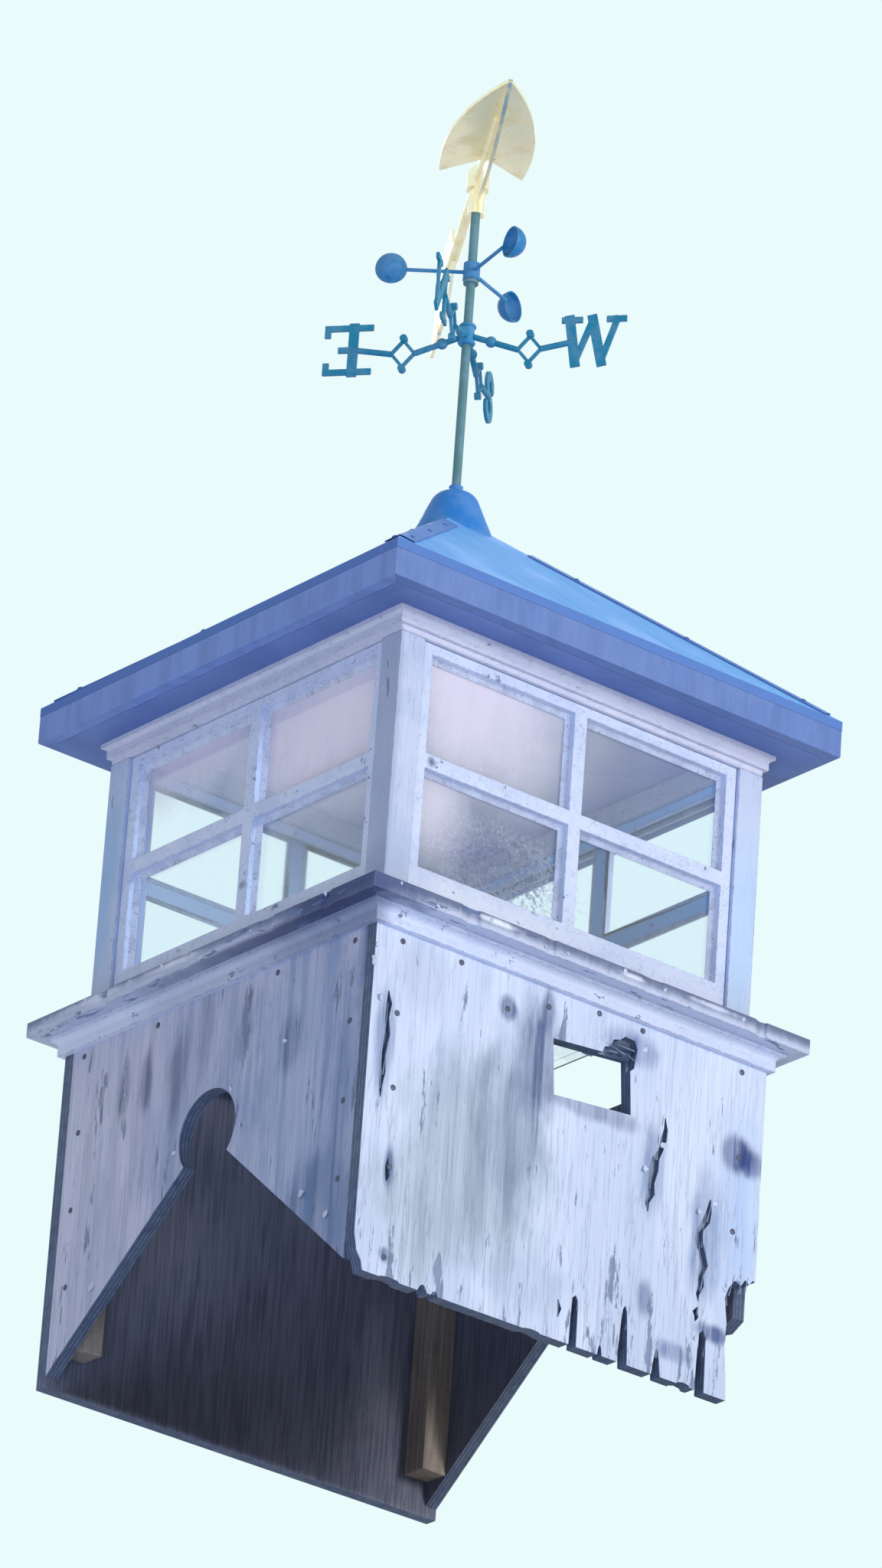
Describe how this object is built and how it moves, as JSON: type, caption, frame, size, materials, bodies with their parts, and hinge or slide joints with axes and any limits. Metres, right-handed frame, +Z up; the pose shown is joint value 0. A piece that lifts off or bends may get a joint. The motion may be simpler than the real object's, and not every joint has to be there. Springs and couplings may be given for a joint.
{
  "type": "barn cupola",
  "caption": "Square roof cupola with a weathered plywood base cut to straddle a ridge, a glazed lantern, a hip roof and a weathervane with wind cups.",
  "frame": {"origin": "bottom centre: on the axis of the weathervane, level with the lowest edges of the base", "axes": "+Z up along the weathervane's rod, +X along the roof ridge, -Y is the face with the rough opening"},
  "size_m": [0.728, 0.728, 1.765],
  "materials": {
    "weathered_plywood": "weathered white paint over grey plywood",
    "bare_wood": "bare sawn softwood",
    "painted_trim": "old white paint, flaking",
    "window_glass": "dirty clear glass",
    "roof_metal": "blue painted sheet metal",
    "dark_blue_metal": "dark blue weathered paint",
    "gilt": "gilded, worn"
  },
  "bodies": {
    "cupola": {"base_front": "weathered_plywood", "base_back": "weathered_plywood", "base_left": "weathered_plywood", "base_right": "weathered_plywood", "base_corner_cleats": "bare_wood", "ledge_front": "painted_trim", "ledge_back": "painted_trim", "ledge_left": "painted_trim", "ledge_right": "painted_trim", "ledge_moulding": "painted_trim", "post_front_left": "painted_trim", "post_front_right": "painted_trim", "post_back_left": "painted_trim", "post_back_right": "painted_trim", "top_plate": "painted_trim", "sash_front": "painted_trim", "sash_back": "painted_trim", "sash_left": "painted_trim", "sash_right": "painted_trim", "glass_front": "window_glass", "glass_back": "window_glass", "glass_left": "window_glass", "glass_right": "window_glass", "crown_moulding": "painted_trim", "roof_deck": "painted_trim", "fascia_front": "roof_metal", "fascia_back": "roof_metal", "fascia_left": "roof_metal", "fascia_right": "roof_metal", "roof_front": "roof_metal", "roof_back": "roof_metal", "roof_left": "roof_metal", "roof_right": "roof_metal", "peak_cap": "dark_blue_metal", "vane_rod": "dark_blue_metal", "compass_hub": "dark_blue_metal", "compass_north": "dark_blue_metal", "compass_east": "dark_blue_metal", "compass_south": "dark_blue_metal", "compass_west": "dark_blue_metal"},
    "cup_rotor": {"rotor_hub": "dark_blue_metal", "cup_1": "dark_blue_metal", "cup_2": "dark_blue_metal", "cup_3": "dark_blue_metal"},
    "vane": {"vane_socket": "gilt", "arrow": "gilt"}
  },
  "joints": [
    {"name": "rotor_spin", "type": "hinge", "parent": "cupola", "child": "cup_rotor", "pos_m": [0, 0, 1.571], "axis": [0, 0, 1], "continuous": true},
    {"name": "vane_turn", "type": "hinge", "parent": "cupola", "child": "vane", "pos_m": [0, 0, 1.705], "axis": [0, 0, 1], "continuous": true}
  ]
}
